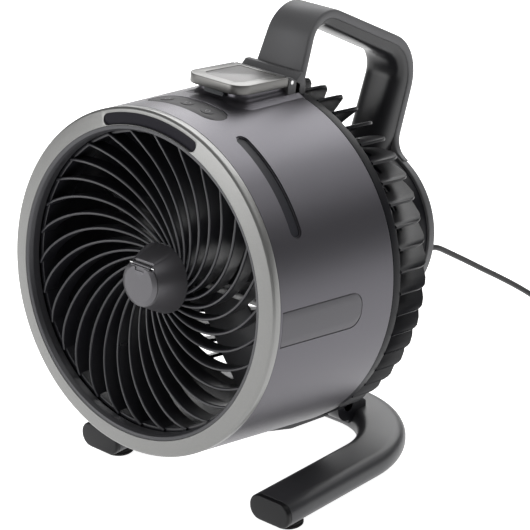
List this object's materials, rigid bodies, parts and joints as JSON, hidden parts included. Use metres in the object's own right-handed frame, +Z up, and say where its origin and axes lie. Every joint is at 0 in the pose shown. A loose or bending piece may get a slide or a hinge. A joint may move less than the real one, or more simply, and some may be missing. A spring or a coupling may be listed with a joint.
{
  "type": "portable misting fan",
  "caption": "Portable drum fan with a misting nozzle, spiral guard, carrying handle and a water tank with hinged lid, tilting on a U-shaped stand, with its low-voltage power lead.",
  "frame": {"origin": "on the floor, under the middle of the fan and stand without the lead", "axes": "+Z up, -Y towards the front grille, +X towards the fan's left side as it faces the viewer's right"},
  "size_m": [0.262, 0.5903, 0.3505],
  "materials": {
    "drum_paint": "satin dark grey metallic paint on a plastic shell",
    "ring_silver": "satin silver metallic paint on plastic",
    "guard_black": "black plastic, semi-gloss",
    "cover_grey": "grey plastic, satin",
    "grip_black": "black plastic, glossy",
    "fan_grey": "dark grey plastic",
    "lid_metal": "satin nickel-coloured plating",
    "lid_inlay": "satin grey plastic",
    "smoked_lens": "smoked clear plastic",
    "panel_black": "dark grey soft plastic",
    "badge_grey": "satin dark grey plastic",
    "stand_black": "black satin coat on a moulded tube",
    "rubber": "matt black",
    "silicone": "translucent silicone",
    "steel": "turned steel",
    "motor_steel": "laminated steel",
    "bronze": "turned bronze",
    "tank_plastic": "translucent plastic",
    "board_green": "circuit board with solder mask",
    "cell_wrap": "wrapped cells",
    "lead_black": "black flexible plastic"
  },
  "bodies": {
    "stand": {"stand_tube": "stand_black", "leg_end_caps": "stand_black", "front_feet": "rubber", "rear_foot": "rubber", "foot_screws": "steel", "pivot_yoke": "guard_black", "pivot_pin": "steel", "friction_washers": "rubber", "cord": "lead_black", "cord_coil": "lead_black", "cord_tail": "lead_black", "power_adapter": "lead_black", "adapter_prongs": "steel"},
    "impeller": {"impeller": "fan_grey", "impeller_nut": "steel", "motor_shaft": "steel", "motor_rotor": "motor_steel"},
    "tank_lid": {"tank_lid_frame": "lid_metal", "tank_lid_panel": "lid_inlay", "tank_lid_seal": "silicone", "lid_latch": "tank_plastic"},
    "nozzle_door": {"nozzle_cover": "guard_black"},
    "power_button": {"power_button": "panel_black"},
    "speed_button": {"speed_button": "panel_black"},
    "mist_button": {"mist_button": "panel_black"},
    "head": {"drum_shell": "drum_paint", "lid_hinge_block": "drum_paint", "filler_boss": "drum_paint", "front_ring": "ring_silver", "front_grille": "guard_black", "rear_grille": "guard_black", "hub_housing": "guard_black", "rear_housing": "guard_black", "pivot_bracket": "guard_black", "dc_jack": "guard_black", "rear_cover": "cover_grey", "handle_shell": "cover_grey", "handle_grip": "grip_black", "duct_shroud": "fan_grey", "motor_mount": "fan_grey", "display_window": "smoked_lens", "level_window": "smoked_lens", "control_panel": "panel_black", "side_badge": "badge_grey", "mist_feed_tube": "silicone", "water_hose": "silicone", "nozzle_cover_pin": "steel", "lid_hinge_pin": "steel", "rear_cover_screws": "steel", "motor_stator": "motor_steel", "front_bearing": "bronze", "rear_bearing": "bronze", "mist_nozzle": "bronze", "water_tank": "tank_plastic", "filler_neck": "tank_plastic", "mist_pump": "tank_plastic", "button_board": "board_green", "main_board": "board_green", "battery_pack": "cell_wrap", "dc_plug": "lead_black"}
  },
  "joints": [
    {"name": "head_tilt", "type": "hinge", "parent": "stand", "child": "head", "pos_m": [0, 0.0486, 0.036], "axis": [-1, 0, 0], "range_deg": [-7, 28], "deforming": ["cord"]},
    {"name": "impeller_spin", "type": "hinge", "parent": "head", "child": "impeller", "pos_m": [0, -0.06593, 0.17887], "axis": [0, 0.9924, -0.1233], "continuous": true},
    {"name": "tank_lid_hinge", "type": "hinge", "parent": "head", "child": "tank_lid", "pos_m": [0, -0.00265, 0.31028], "axis": [-1, 0, 0], "range_deg": [0, 105]},
    {"name": "nozzle_door_hinge", "type": "hinge", "parent": "head", "child": "nozzle_door", "pos_m": [0, -0.13216, 0.2006], "axis": [-1, 0, 0], "range_deg": [0, 115]},
    {"name": "power_button_press", "type": "slide", "parent": "head", "child": "power_button", "axis": [0.1513, -0.1218, -0.981], "range_m": [0, 0.0005], "stiffness_N_per_m": 400, "springref_m": -0.001},
    {"name": "speed_button_press", "type": "slide", "parent": "head", "child": "speed_button", "axis": [0, -0.1233, -0.9924], "range_m": [0, 0.0005], "stiffness_N_per_m": 400, "springref_m": -0.001},
    {"name": "mist_button_press", "type": "slide", "parent": "head", "child": "mist_button", "axis": [-0.1513, -0.1218, -0.981], "range_m": [0, 0.0005], "stiffness_N_per_m": 400, "springref_m": -0.001}
  ]
}
